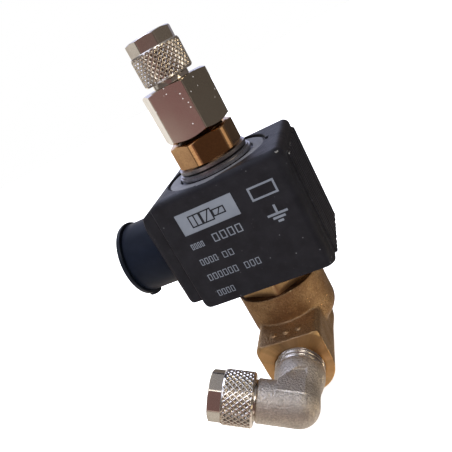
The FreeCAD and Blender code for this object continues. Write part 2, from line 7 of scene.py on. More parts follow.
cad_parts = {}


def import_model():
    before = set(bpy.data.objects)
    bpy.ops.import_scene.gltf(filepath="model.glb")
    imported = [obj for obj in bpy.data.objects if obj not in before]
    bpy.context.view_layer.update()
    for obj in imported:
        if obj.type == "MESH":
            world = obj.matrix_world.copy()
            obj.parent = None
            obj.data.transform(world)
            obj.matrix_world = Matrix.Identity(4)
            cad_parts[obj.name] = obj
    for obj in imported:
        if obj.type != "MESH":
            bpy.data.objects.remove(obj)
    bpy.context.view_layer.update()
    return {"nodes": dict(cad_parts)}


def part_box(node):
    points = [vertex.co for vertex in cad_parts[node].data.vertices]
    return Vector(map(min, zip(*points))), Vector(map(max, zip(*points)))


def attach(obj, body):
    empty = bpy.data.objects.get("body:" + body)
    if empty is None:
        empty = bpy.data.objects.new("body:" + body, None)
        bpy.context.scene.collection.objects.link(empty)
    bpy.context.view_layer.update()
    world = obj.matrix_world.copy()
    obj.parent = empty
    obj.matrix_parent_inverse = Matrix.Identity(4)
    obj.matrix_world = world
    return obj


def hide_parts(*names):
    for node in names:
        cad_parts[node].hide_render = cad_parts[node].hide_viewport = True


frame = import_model()

# Lengths below are millimetres in the frame of the CAD model; meshes are scaled to metres.
MM = 0.001

# shared sizes of the CAD model
PORT_Z = 10.0
PORT_FACE_Y = 20.2
BACK_FACE_Y = 14.5
THREAD_R = 6.58
NECK_R = 12.47
ELBOW_Y = -33.18
ELBOW_RISE = math.radians(28.3)
HUB_Z = 48.05
INCH_19_PITCH = 1.337
STEM_R = 4.84
STEM_BORE_R = 1.35
BOSS_HALF = 9.0
BOSS_TOP = 19.4
NECK_TOP = 27.7
BONNET_ACROSS = 20.78
BONNET_CORNER_DEG = -83.5
NUT_ACROSS = 16.2
NUT_CORNER_DEG = -95.8
ADAPTER_ACROSS = 16.1
ADAPTER_CORNER_DEG = 0.6
ADAPTER_TOP = 87.55
TOP_NUT_LOW = 88.76
ELBOW_NUT_START = 10.4
COIL_FRONT, COIL_BACK = -15.27, 14.2
COIL_RIGHT = 19.7
YOKE_X, YOKE_Y = 16.0, 11.0
YOKE_LOW, YOKE_TOP = 33.4, 63.4
YOKE_PLATE = 2.0
HUB_ROOT, HUB_END = 20.6, 34.07       # counted along -X
HUB_BORE_R = 7.25


# ---------------------------------------------------------------- mesh helpers

def link(obj):
    bpy.context.scene.collection.objects.link(obj)
    return obj


def quad_object(name, points, quads, placement=None, sharp_deg=None):
    """Mesh object from points in millimetres and rows of four point numbers."""
    points = np.asarray(points, float)
    if placement is not None:
        turn, start = placement
        points = points @ np.array(turn).T + np.array(start)
    mesh = bpy.data.meshes.new(name)
    mesh.vertices.add(len(points))
    mesh.vertices.foreach_set("co", (points * MM).astype(np.float32).ravel())
    mesh.loops.add(quads.size)
    mesh.loops.foreach_set("vertex_index", quads.astype(np.int32).ravel())
    mesh.polygons.add(len(quads))
    mesh.polygons.foreach_set("loop_start", np.arange(0, quads.size, 4, dtype=np.int32))
    mesh.update(calc_edges=True)
    mesh.polygons.foreach_set("use_smooth", np.ones(len(quads), bool))
    if sharp_deg is not None:
        mesh.set_sharp_from_angle(angle=math.radians(sharp_deg))
    return link(bpy.data.objects.new(name, mesh))


def face_centres(obj):
    mesh = obj.data
    centres = np.zeros(len(mesh.polygons) * 3, np.float32)
    mesh.polygons.foreach_get("center", centres)
    return centres.reshape(-1, 3) / MM


def paint_faces(obj, chosen, index):
    """Gives the chosen faces another of the object's materials."""
    mesh = obj.data
    slots = np.zeros(len(mesh.polygons), np.int32)
    mesh.polygons.foreach_get("material_index", slots)
    slots[chosen] = index
    mesh.polygons.foreach_set("material_index", slots)


def angles(count, corners=0, first_deg=0.0, soft=0.6):
    """Even angles round a circle, with extra ones at the corners of a polygon and just beside them."""
    values = list(np.arange(count) * 360.0 / count)
    for k in range(corners):
        corner = first_deg + 360.0 * k / corners
        values += [corner - soft, corner, corner + soft]
    return np.radians(np.unique(np.round(np.mod(values, 360.0), 4)))


def polygon_radius(theta, sides, across, first_deg, turned_r):
    """Distance to a regular polygon's side, cut back at its corners to a turned radius."""
    step = 2 * math.pi / sides
    off = np.mod(theta - math.radians(first_deg), step) - step / 2
    return np.minimum(across / 2 / np.cos(off), turned_r)


def polar(name, theta, rings, placement=None, closed=True, sharp_deg=32.0):
    """Skin through rings of (radius, height) about Z, outer walls running upwards."""
    count = len(theta)
    rows = []
    for radius, height in rings:
        radius = np.broadcast_to(np.asarray(radius, float), (count,))
        height = np.broadcast_to(np.asarray(height, float), (count,))
        rows.append(np.stack([radius * np.cos(theta), radius * np.sin(theta), height], 1))
    total = len(rows)
    here = np.arange(count)
    after = np.roll(here, -1)
    quads = []
    for k in range(total if closed else total - 1):
        low, high = k * count, (k + 1) % total * count
        quads.append(np.stack([low + here, low + after, high + after, high + here], 1))
    return quad_object(name, np.concatenate(rows), np.concatenate(quads), placement, sharp_deg)


def thread_crest(theta, along, pitch):
    """0 in a thread's groove, 1 on its crest."""
    phase = np.mod(along / pitch - theta / (2 * math.pi), 1.0)
    return np.clip((np.abs(2 * phase - 1) - 0.18) / 0.64, 0, 1)


def thread_rings(theta, low, high, crest_r, depth, pitch=INCH_19_PITCH, step=0.15, upward=True):
    heights = np.arange(low, high + step / 2, step)
    if not upward:
        heights = heights[::-1]
    fade = np.clip(np.minimum(heights - low, high - heights) / 0.5, 0, 1)
    return [(crest_r - depth * f * (1 - thread_crest(theta, z, pitch)), z)
            for z, f in zip(heights, fade)]


def groove_rings(theta, low, high, bore_r, depth, pitch, step=0.18):
    """Internal thread, listed downwards, with its grooves cut outwards into the wall."""
    heights = np.arange(low, high + step / 2, step)[::-1]
    fade = np.clip(np.minimum(heights - low, high - heights) / 0.5, 0, 1)
    return [(bore_r + depth * f * thread_crest(theta, z, pitch), z) for z, f in zip(heights, fade)]


# ---------------------------------------------------------------- distance fields

def grid(low, high, step):
    """Open grid of x, y, z over a box, with a margin of two steps."""
    axes = [np.arange(a - 2 * step, b + 3 * step, step, dtype=np.float32) for a, b in zip(low, high)]
    return axes[0][:, None, None], axes[1][None, :, None], axes[2][None, None, :]


def skin(field, space, step):
    """Closed quad surface where the field is zero: one point for each cell that it crosses."""
    start = np.array([axis.ravel()[0] for axis in space], float)
    inside = field < 0
    cells = tuple(np.array(field.shape) - 1)
    rings, crossings = [], []
    for axis in range(3):
        lower = tuple(slice(0, -1) if k == axis else slice(None) for k in range(3))
        upper = tuple(slice(1, None) if k == axis else slice(None) for k in range(3))
        change = inside[lower] != inside[upper]
        index = np.argwhere(change)
        a, b = field[lower][change], field[upper][change]
        point = index.astype(float)
        point[:, axis] += a / (a - b)
        u, v = (axis + 1) % 3, (axis + 2) % 3
        around = []
        for du, dv in ((0, 0), (-1, 0), (-1, -1), (0, -1)):
            cell = index.copy()
            cell[:, u] += du
            cell[:, v] += dv
            around.append(np.ravel_multi_index(cell.T, cells))
        ring = np.stack(around, 1)
        enters = ~inside[lower][change]
        ring[enters] = ring[enters][:, ::-1]
        rings.append(ring)
        crossings.append(np.repeat(point, 4, axis=0))
    rings = np.concatenate(rings)
    crossings = np.concatenate(crossings)
    cell_of, number = np.unique(rings.ravel(), return_inverse=True)
    hits = np.bincount(number)
    points = np.stack([np.bincount(number, crossings[:, k]) / hits for k in range(3)], 1)
    return start + points * step, number.reshape(-1, 4)


def meet(a, b, r):
    """Intersection of two fields with a rounded edge."""
    corner = np.hypot(np.maximum(a + r, 0), np.maximum(b + r, 0))
    return np.minimum(np.maximum(a, b), -r) + corner


def join(a, b, r):
    """Union of two fields with a filleted seam."""
    return -meet(-a, -b, r)


def slab(value, low, high):
    return np.maximum(low - value, value - high)


# ---------------------------------------------------------------- materials

class Shader:
    """Principled material built from a few short node calls."""

    def __init__(self, name):
        self.material = bpy.data.materials.new(name)
        self.material.use_nodes = True
        self.tree = self.material.node_tree
        self.tree.nodes.clear()
        self.bsdf = self.add("ShaderNodeBsdfPrincipled")
        output = self.add("ShaderNodeOutputMaterial")
        self.tree.links.new(self.bsdf.outputs[0], output.inputs[0])
        self.place = self.add("ShaderNodeTexCoord").outputs["Object"]

    def add(self, kind, inputs=None, **settings):
        node = self.tree.nodes.new(kind)
        for key, value in settings.items():
            setattr(node, key, value)
        for key, value in (inputs or {}).items():
            self.feed(node.inputs[key], value)
        return node

    def feed(self, socket, value):
        if isinstance(value, bpy.types.NodeSocket):
            self.tree.links.new(value, socket)
        elif isinstance(value, tuple) and len(value) == 3 and socket.type == "RGBA":
            socket.default_value = value + (1.0,)
        else:
            socket.default_value = value

    def set(self, **values):
        for key, value in values.items():
            self.feed(self.bsdf.inputs[key.replace("_", " ")], value)

    def noise(self, size_mm, detail=3.0, roughness=0.55, stretch=None, distortion=0.0):
        place = self.place
        if stretch:
            place = self.add("ShaderNodeMapping", {"Vector": place, "Scale": stretch}).outputs[0]
        return self.add("ShaderNodeTexNoise", {
            "Vector": place, "Scale": 1000.0 / size_mm, "Detail": detail,
            "Roughness": roughness, "Distortion": distortion}).outputs["Fac"]

    def specks(self, size_mm, share):
        """1 on sparse dots, 0 elsewhere: dots sit in a share of the cells."""
        cells = self.add("ShaderNodeTexVoronoi", {"Vector": self.place, "Scale": 1000.0 / size_mm})
        near = self.range(cells.outputs["Distance"], 0.10, 0.28, 1.0, 0.0)
        chosen = self.range(self.add("ShaderNodeSeparateColor", {
            0: cells.outputs["Color"]}).outputs[0], share, share + 0.02, 1.0, 0.0)
        return self.math("MULTIPLY", near, chosen)

    def range(self, value, low, high, to_low=0.0, to_high=1.0):
        return self.add("ShaderNodeMapRange", {
            0: value, 1: low, 2: high, 3: to_low, 4: to_high}).outputs[0]

    def math(self, operation, a, b=0.0):
        return self.add("ShaderNodeMath", {0: a, 1: b}, operation=operation).outputs[0]

    def mix(self, factor, a, b, blend="MIX"):
        return self.add("ShaderNodeMix", {0: factor, 6: a, 7: b},
                        data_type="RGBA", blend_type=blend).outputs[2]

    def bump(self, height, depth_mm, normal=None, strength=1.0):
        inputs = {"Height": height, "Distance": depth_mm * MM, "Strength": strength}
        if normal is not None:
            inputs["Normal"] = normal
        return self.add("ShaderNodeBump", inputs).outputs[0]

    def attribute(self, name):
        return self.add("ShaderNodeAttribute", attribute_name=name).outputs["Fac"]

    def from_axis(self, centre, keep):
        """Way out from an axis through centre, and its length; keep masks the axis direction out."""
        offset = self.add("ShaderNodeVectorMath", {0: self.place, 1: tuple(v * MM for v in centre)},
                          operation="SUBTRACT").outputs[0]
        flat = self.add("ShaderNodeVectorMath", {0: offset, 1: keep}, operation="MULTIPLY").outputs[0]
        return flat, self.add("ShaderNodeVectorMath", {0: flat}, operation="LENGTH").outputs["Value"]


def metal(name, bright, dull, rough, patch_mm=6.0, grain_mm=0.25, grain_depth=0.004, grit=0.35,
          specks=0.0, speck_colour=(0.12, 0.1, 0.08), scratch=0.0, shade_attribute=None, glint=1.0, rubbed=None,
          dot_mm=0.55, dusty=False):
    """Metal with patchy colour and roughness, fine grain, specks, rubbed lines, painted shade in pits and
    a painted highlight along a marked edge.
    """
    s = Shader(name)
    patches = s.range(s.noise(patch_mm, 5.0), 0.35, 0.65)
    colour = s.mix(patches, bright, dull)
    fine = s.noise(grain_mm, 2.0)
    worn = tuple(0.7 * v for v in dull)
    colour = s.mix(s.range(fine, 0.3, 0.7, 0.0, grit), colour, worn)
    if specks:
        dots = s.specks(dot_mm, specks)
        colour = s.mix(dots, colour, speck_colour)
    # painted shade, with some dirt: the knurl's pits are darkened by the pit attribute
    if shade_attribute:
        pit = s.range(s.attribute(shade_attribute), 0.2, 1.0)
        colour = s.mix(pit, colour, tuple(0.6 * v for v in dull))
    low, high = rough
    roughness = s.range(s.math("ADD", s.math("MULTIPLY", patches, 0.6), s.math("MULTIPLY", fine, 0.4)),
                        0.2, 0.8, low, high)
    if glint < 1.0:
        roughness = s.math("MULTIPLY", roughness, s.range(dots, 0.0, 1.0, 1.0, glint))
    # painted highlight: a marked edge is made near-white and smoother
    if rubbed:
        edge = s.attribute(rubbed)
        colour = s.mix(edge, colour, (1.0, 0.97, 0.92))
        roughness = s.math("MULTIPLY", roughness, s.range(edge, 0.0, 1.0, 1.0, 0.6))
    normal = s.bump(fine, grain_depth)
    if scratch:
        lines = s.noise(0.12, 2.0, stretch=(1.0, 1.0, 0.02))
        normal = s.bump(lines, scratch, normal)
    metallic = s.range(dots, 0.0, 1.0, 1.0, 0.0) if dusty else 1.0
    s.set(Base_Color=colour, Metallic=metallic, Roughness=roughness, Normal=normal)
    return s.material


def moulded(name, dark, light, rough, grain_mm=0.22, grain_depth=0.012, specks=0.0, dust=0.0, shine=0.5,
            scuffs=()):
    """Moulded plastic with a fine eroded texture, handling marks, stray dust and scuffed spots."""
    s = Shader(name)
    cloud = s.range(s.noise(5.0, 5.0, 0.6), 0.35, 0.7)
    colour = s.mix(cloud, dark, light)
    if dust:
        film = s.range(s.noise(1.1, 6.0, 0.75), 0.55, 0.85, 0.0, dust)
        colour = s.mix(film, colour, (0.16, 0.16, 0.18))
    if specks:
        colour = s.mix(s.specks(0.8, specks), colour, (0.12, 0.12, 0.13))
    for centre, radius_mm, share in scuffs:
        reach = s.from_axis(centre, (1, 1, 1))[1]
        near = s.range(reach, 0.3 * radius_mm * MM, radius_mm * MM, share, 0.0)
        chip = s.range(s.math("ADD", s.noise(0.45, 2.0), near), 0.86, 0.92)
        colour = s.mix(chip, colour, (0.22, 0.22, 0.21))
    grain = s.noise(grain_mm, 3.0, 0.6)
    smear = s.noise(3.5, 4.0, 0.6, distortion=0.6)
    low, high = rough
    roughness = s.range(s.math("ADD", s.math("MULTIPLY", grain, 0.3), s.math("MULTIPLY", smear, 0.7)),
                        0.3, 0.7, low, high)
    s.set(Base_Color=colour, Roughness=roughness, Normal=s.bump(grain, grain_depth),
          Specular_IOR_Level=shine)
    return s.material


def turned_metal(name, bright, dull, rough, centre, keep, pitch_mm=0.22, depth=0.004):
    """Lathe-cut metal: irregular rings about an axis, which draw its highlights out along the radius, with
    a painted highlight and painted shade in fans round the axis.
    """
    s = Shader(name)
    outwards, rho = s.from_axis(centre, keep)
    rings = s.add("ShaderNodeTexNoise", {"W": rho, "Scale": 1000.0 / pitch_mm, "Detail": 2.0},
                  noise_dimensions="1D").outputs["Fac"]
    patches = s.range(s.noise(4.0, 4.0), 0.35, 0.65)
    colour = s.mix(s.range(rings, 0.3, 0.7, 0.0, 0.5), s.mix(patches, bright, dull), dull)
    parts = s.add("ShaderNodeSeparateXYZ", {0: outwards}).outputs
    around = s.math("ARCTAN2", parts["Z"], parts["X"])
    fans = s.math("COSINE", s.math("MULTIPLY", s.math("ADD", around, math.radians(22.0)), 2.0))
    streaks = s.add("ShaderNodeTexNoise", {"W": around, "Scale": 3.2, "Detail": 3.0},
                    noise_dimensions="1D").outputs["Fac"]
    # painted highlight and painted shade: lighter and darker fans, set by the angle round the axis, stand
    # in for the turned face's highlights
    painted_sheen = s.range(s.math("ADD", fans, s.range(streaks, 0.3, 0.7, -0.7, 0.7)), -1.0, 1.0, 0.75, 0.0)
    colour = s.mix(painted_sheen, colour, tuple(0.5 * v for v in dull))
    low, high = rough
    s.set(Base_Color=colour, Metallic=1.0, Roughness=s.range(patches, 0.0, 1.0, low, high),
          Normal=s.bump(rings, depth), Anisotropic=0.8, Tangent=outwards)
    return s.material


NICKEL = (0.74, 0.69, 0.63)
NICKEL_DULL = (0.66, 0.61, 0.555)

M = {
    "forged": metal("forged_brass", (0.66, 0.45, 0.25), (0.46, 0.29, 0.155), (0.40, 0.54), 5.0,
                    0.5, 0.28, grit=0.75, specks=0.35, speck_colour=(0.95, 0.72, 0.42), glint=0.3,
                    dot_mm=0.75),
    "machined": turned_metal("machined_brass", (0.98, 0.68, 0.36), (0.82, 0.52, 0.25), (0.34, 0.46),
                             (0, 0, PORT_Z), (1, 0, 1), pitch_mm=0.45, depth=0.03),
    # partly painted shade under the coil, partly dark residue: the neck's top face is coloured dark brown
    "neck_rim_shade": metal("shaded_neck_rim", (0.30, 0.18, 0.10), (0.17, 0.10, 0.06), (0.5, 0.65), 3.0,
                      0.4, 0.03),
    "hexagon": metal("milled_brass", (0.86, 0.63, 0.36), (0.66, 0.45, 0.24), (0.34, 0.46), 4.0,
                     0.4, 0.01, scratch=0.008),
    "polished": metal("polished_brass", (0.80, 0.50, 0.25), (0.64, 0.38, 0.19), (0.12, 0.22), 4.0,
                      0.5, 0.002, scratch=0.002),
    # the core's spigot thread is coloured dark brown
    "spigot": metal("dark_brown_thread", (0.30, 0.18, 0.10), (0.10, 0.07, 0.05), (0.35, 0.5), 3.0,
                    0.4, 0.01),
    "nickel": metal("satin_nickel", NICKEL, NICKEL_DULL, (0.13, 0.2), 5.0, 0.3, 0.003,
                    specks=0.05, speck_colour=(0.50, 0.47, 0.44), scratch=0.002, dot_mm=0.75, dusty=True),
    "bright": metal("bright_nickel", (0.80, 0.76, 0.70), (0.66, 0.62, 0.57), (0.08, 0.14), 4.0, 0.3,
                    0.001),
    # the pit attribute paints shade, with some dirt, into the knurl's pits
    "knurl": metal("knurled_nickel", (0.86, 0.805, 0.73), (0.74, 0.69, 0.62), (0.12, 0.2), 4.0, 0.3,
                   0.003, shade_attribute="pit"),
    # the elbow's ledge carries a painted highlight line
    "blasted": metal("blasted_nickel", (0.90, 0.84, 0.77), (0.72, 0.67, 0.61), (0.42, 0.54), 4.0,
                     0.45, 0.30, grit=0.8, specks=0.12, speck_colour=(0.95, 0.9, 0.84), rubbed="rub"),
    "steel": metal("washer_steel", (0.56, 0.55, 0.57), (0.38, 0.37, 0.39), (0.28, 0.42), 3.0, 0.4,
                   0.006, grit=0.6),
    "stainless": metal("stainless", (0.66, 0.65, 0.64), (0.5, 0.49, 0.48), (0.2, 0.32), 5.0, 0.3,
                       0.002, scratch=0.003),
    "phosphate": metal("phosphate_steel", (0.30, 0.30, 0.33), (0.20, 0.20, 0.22), (0.5, 0.65), 3.0,
                       0.2, 0.01),
    "copper": metal("enamelled_copper", (0.75, 0.34, 0.15), (0.55, 0.22, 0.09), (0.25, 0.35), 3.0,
                    0.3, 0.02, scratch=0.02),
    "tinned": metal("tinned", (0.75, 0.74, 0.72), (0.6, 0.59, 0.57), (0.25, 0.35), 2.0, 0.2, 0.003),
    "coil": moulded("coil_moulding", (0.006, 0.006, 0.0082), (0.010, 0.010, 0.0132), (0.36, 0.52),
                    0.3, 0.03, specks=0.004, dust=0.05, shine=0.16,
                    scuffs=[((18.6, -14.4, 64.2), 0.8, 0.46), ((20.0, -9.0, 61.5), 1.6, 0.32),
                            ((20.0, -2.5, 61.5), 1.6, 0.30), ((20.0, 7.8, 61.5), 1.4, 0.28)]),
    "entry": moulded("entry_plastic", (0.004, 0.0055, 0.010), (0.006, 0.008, 0.014), (0.36, 0.48),
                     0.3, 0.004, shine=0.08),
    "plug": moulded("plug_plastic", (0.004, 0.0055, 0.009), (0.006, 0.008, 0.013), (0.26, 0.38),
                    0.3, 0.003, shine=0.2),
    "ring": moulded("ring_grey", (0.105, 0.110, 0.128), (0.145, 0.150, 0.168), (0.5, 0.65), 0.25, 0.008,
                    specks=0.03, dust=0.3, shine=0.1),
    "bobbin": moulded("bobbin_nylon", (0.60, 0.56, 0.46), (0.70, 0.66, 0.56), (0.4, 0.55), 0.3, 0.006),
    "rubber": moulded("seal_rubber", (0.02, 0.02, 0.02), (0.03, 0.03, 0.03), (0.55, 0.7), 0.3, 0.008),
    "ink": moulded("pale_ink", (0.10, 0.113, 0.138), (0.125, 0.14, 0.166), (0.5, 0.65), 0.3, 0.006),
}


def finish(obj, body, materials, nodes=()):
    """Materials, body and the CAD nodes that a piece stands for."""
    obj.data.materials.clear()
    for key in materials:
        obj.data.materials.append(M[key])
    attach(obj, body)
    if nodes:
        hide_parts(*nodes)
    return obj


# ---------------------------------------------------------------- brass body

BOSS_TURNED_R = 11.4
FRONT_EDGE = BOSS_TURNED_R + PORT_FACE_Y      # where the 45 degree cone of each turned port edge starts
BACK_EDGE = BOSS_TURNED_R + BACK_FACE_Y
SLANT = 0.7071


def boss_mark(x, y):
    """Three equal cast pips in a row on top of the front boss, as a flat outline field."""
    spacing, middle_y, radius = 3.6, -16.6, 0.8
    beside = np.minimum(np.abs(x), np.abs(np.abs(x) - spacing))
    return np.hypot(beside, y - middle_y) - radius


def valve_body():
    step = 0.2
    front_end, back_end = -8.2, 6.5       # inner ends of the two ports
    passage_r, orifice_r, seat_r = 2.0, 1.2, 2.4
    chamber_r, chamber_low, seat_z = 7.5, 17.5, 19.6
    outlet_y = -5.6
    space = grid((-12.6, -20.3, 0.0), (12.6, 14.6, 27.8), step)
    x, y, z = space
    axis_r = np.hypot(x, y)
    neck = meet(axis_r - NECK_R, 11.7 - z, 4.5)
    neck = meet(neck, z - NECK_TOP, 0.35)
    rho = np.hypot(x, z - PORT_Z)
    half = BOSS_HALF + 0.5 * np.exp(-((z - 9.0) / 2.5) ** 2 - ((y - 0.5) / 2.5) ** 2)
    outline = np.where(z < PORT_Z, rho - half, np.abs(x) - half)
    boss = meet(outline, z - BOSS_TOP, 2.0)
    marks = meet(boss_mark(x, y), z - 19.85, 0.2)
    boss = join(boss, np.maximum(marks, 18.8 - z), 0.2)
    front_cone = (rho - y - FRONT_EDGE) * SLANT
    back_cone = (rho + y - BACK_EDGE) * SLANT
    boss = np.maximum(boss, np.maximum(front_cone, back_cone))
    pad = meet(np.maximum(np.abs(x) - 5.5, np.abs(y) - 11.0), -z, 0.3)
    pad = np.maximum(pad, z - PORT_Z)
    body = join(join(neck, boss, 0.6), pad, 0.6)
    body = np.maximum(body, slab(y, -PORT_FACE_Y, BACK_FACE_Y))
    theta = np.arctan2(z - PORT_Z, x)
    tapped = rho - (THREAD_R - 0.75 * (1 - thread_crest(theta, y, INCH_19_PITCH)))
    mouth = np.minimum(tapped, rho - (THREAD_R + 0.25) + (BACK_FACE_Y - y))
    body = np.maximum(body, -np.maximum(mouth, back_end - y))
    body = np.maximum(body, -np.maximum(rho - THREAD_R, y - front_end))
    cuts = [
        np.maximum(axis_r - chamber_r, np.maximum(chamber_low - z, seat_r - axis_r)),
        np.maximum(axis_r - chamber_r, seat_z - z),
        np.maximum(axis_r - orifice_r, PORT_Z - z),
        np.maximum(rho - passage_r, slab(y, -orifice_r, back_end + 1.0)),
        np.maximum(rho - passage_r, slab(y, front_end - 1.0, -4.4)),
        np.maximum(np.hypot(x, y - outlet_y) - orifice_r, slab(z, PORT_Z, 18.0)),
        np.maximum(axis_r - 9.0, 20.2 - z),        # bonnet's thread
        np.maximum(axis_r - 10.35, 26.2 - z),      # pocket of the bonnet's seal
    ]
    for hole_y in (-6.0, 6.0):
        cuts.append(np.maximum(np.hypot(x, y - hole_y) - 1.65, z - 5.5))
    for cut in cuts:
        body = np.maximum(body, -cut)
    obj = quad_object("cast_body", *skin(body, space, step))
    finish(obj, "valve", ["forged", "machined", "neck_rim_shade"], ["valve_body"])
    centre = face_centres(obj)
    across = np.hypot(centre[:, 0], centre[:, 2] - PORT_Z)
    radial = np.hypot(centre[:, 0], centre[:, 1])
    y, z = centre[:, 1], centre[:, 2]
    cut = (y < 0.1 - PORT_FACE_Y) | (y > BACK_FACE_Y - 0.1)
    cut |= (across - y > FRONT_EDGE - 0.15) | (across + y > BACK_EDGE - 0.15)
    cut |= (across < 6.9) & ((y < front_end) | (y > back_end))
    cut |= (radial < 10.5) & (z > 17.0) | (z < 0.1)
    paint_faces(obj, cut, 1)
    # painted shade, with some dark residue, on the neck's top face round the bonnet
    paint_faces(obj, (radial < 12.35) & (z > 27.5), 2)
    return obj


# ---------------------------------------------------------------- hexagons, core and fittings

def hex_rings(theta, across, turned_r, first_deg, low, high, chamfer_low, chamfer_high):
    """Outer wall of a wrench hexagon from its lower to its upper end, with turned chamfer arcs."""
    flat = across / 2 - 0.12
    radius = polygon_radius(theta, 6, across, first_deg, turned_r)
    share = (radius - flat) / (turned_r - flat)
    rings = [(flat, low), (radius, low + chamfer_low * share)] if chamfer_low else [(radius, low)]
    rings += [(radius, high - chamfer_high * share), (flat, high)] if chamfer_high else [(radius, high)]
    return rings


def bonnet():
    low, high = (v.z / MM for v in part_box("bonnet"))
    theta = angles(192, 6, BONNET_CORNER_DEG)
    rings = [(6.77, low), (8.6, low), (8.98, low + 0.4), (8.98, 27.72)]
    rings += hex_rings(theta, BONNET_ACROSS, 11.7, BONNET_CORNER_DEG, 27.72, high, 0.0, 0.6)
    rings += [(6.95, high), (6.77, high - 0.2)]
    return finish(polar("bonnet_hex", theta, rings), "valve", ["hexagon"], ["bonnet"])


def coil_nut():
    low, high = (v.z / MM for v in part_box("coil_nut"))
    theta = angles(192, 6, NUT_CORNER_DEG, 2.2)
    rings = [(6.9, low)]
    rings += hex_rings(theta, NUT_ACROSS, 8.93, NUT_CORNER_DEG, low, high, 0.45, 0.5)
    rings += [(7.0, high), (6.6, high - 0.4), (6.6, low + 0.35)]
    return finish(polar("brass_nut", theta, rings), "valve", ["polished"], ["coil_nut"])


def stem_rings(start, nut_start):
    """Plain neck, threaded stem and barb of a push-on fitting, then back down its bore."""
    thread_end = nut_start + 4.6
    barb_end = nut_start + 10.5
    return [
        (STEM_R, start),
        (STEM_R, thread_end - 0.4),
        (STEM_R - 0.4, thread_end),
        (1.95, thread_end + 0.6),
        (1.85, barb_end - 2.4),
        (2.0, barb_end - 2.2),
        (1.65, barb_end),
        (STEM_BORE_R, barb_end),
    ]


def top_adapter():
    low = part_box("top_adapter")[0].z / MM
    high = ADAPTER_TOP
    roof = 85.1
    theta = angles(192, 6, ADAPTER_CORNER_DEG, 0.7)
    rings = [(6.9, low)]
    rings += hex_rings(theta, ADAPTER_ACROSS, 9.25, ADAPTER_CORNER_DEG, low, high, 0.75, 0.45)
    rings += [(STEM_R + 0.25, high), (STEM_R + 0.06, high + 0.07)]
    rings += stem_rings(high + 0.25, TOP_NUT_LOW)
    rings += [(STEM_BORE_R, roof), (6.57, roof), (6.57, low + 0.35)]
    obj = polar("hex_adapter", theta, rings)
    finish(obj, "valve", ["nickel", "bright"], ["top_adapter"])
    centre = face_centres(obj)
    paint_faces(obj, (centre[:, 2] > high) & (np.hypot(centre[:, 0], centre[:, 1]) < 5.2), 1)
    return obj


def fixed_core():
    low, high = (v.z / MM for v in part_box("fixed_core"))
    theta = angles(120)
    core_low, tube_top, shoulder = 49.3, 58.0, 64.4
    rings = [(1.5, low), (2.1, low), (2.1, core_low), (5.73, core_low), (5.73, tube_top),
             (6.75, tube_top), (6.75, shoulder), (5.95, shoulder), (5.95, 65.0), (6.2, 65.5)]
    rings += thread_rings(theta, 65.6, high - 0.8, 6.55, 0.75)
    rings += [(5.75, high), (1.7, high), (1.5, high - 0.2)]
    return finish(polar("core_and_spigot", theta, rings), "valve", ["spigot"],
                  ["fixed_core"])


def tube_nut(name, body, node, turn_deg, placement):
    """Diamond-knurled nut with an eight-sided head, standing on its open end."""
    knurl_r, knurl_end, end = 6.55, 7.6, 10.9
    starts, pitch, depth = 28, 1.58, 0.42
    theta = angles(448, 8, turn_deg, 0.8)
    rings = [(5.3, 0.0), (5.95, 0.0), (6.2, 0.06), (knurl_r - 0.08, 0.4)]
    pits = [np.zeros(len(theta))] * len(rings)
    for z in np.arange(0.5, knurl_end - 0.45, 0.1):
        lean = theta * starts / (2 * math.pi)
        ridge = np.zeros(len(theta))
        for side in (1, -1):
            off = np.abs(np.mod(lean + side * z / pitch, 1.0) * 2 - 1)
            ridge = np.maximum(ridge, np.clip((off - 0.06) / 0.7, 0, 1))
        fade = min(1.0, (z - 0.4) / 0.35, (knurl_end - 0.4 - z) / 0.35)
        pit = (1 - ridge) * fade
        rings.append((knurl_r - depth * pit, z))
        pits.append(pit)
    head = polygon_radius(theta, 8, 11.6, turn_deg, 6.2)
    share = (head - 5.65) / 0.55
    tail = [(knurl_r - 0.08, knurl_end - 0.4), (6.42, knurl_end - 0.12), (6.3, knurl_end),
            (head, knurl_end + 0.02), (head, end - 0.06 - 0.24 * share), (5.65, end), (3.5, end),
            (3.1, end - 0.4), (3.1, 7.6), (4.9, 5.6), (4.9, 0.4)]
    rings += tail
    pits += [np.zeros(len(theta))] * len(tail)
    obj = polar(name, theta, rings, placement, sharp_deg=38.0)
    # the pit depth is also stored as a painted shade attribute for the pits
    shade_attribute = obj.data.attributes.new("pit", "FLOAT", "POINT")
    shade_attribute.data.foreach_set("value", np.concatenate(pits).astype(np.float32))
    return finish(obj, body, ["knurl"], [node])


ELBOW_LEG = (-math.cos(ELBOW_RISE), 0.0, math.sin(ELBOW_RISE))
ELBOW_TURN = np.array([(0.0, -1.0, 0.0), (math.sin(ELBOW_RISE), 0.0, math.cos(ELBOW_RISE)), ELBOW_LEG]).T
ELBOW_CORNER = (0.0, ELBOW_Y, PORT_Z)


def on_leg(distance):
    return tuple(c + distance * d for c, d in zip(ELBOW_CORNER, ELBOW_LEG))


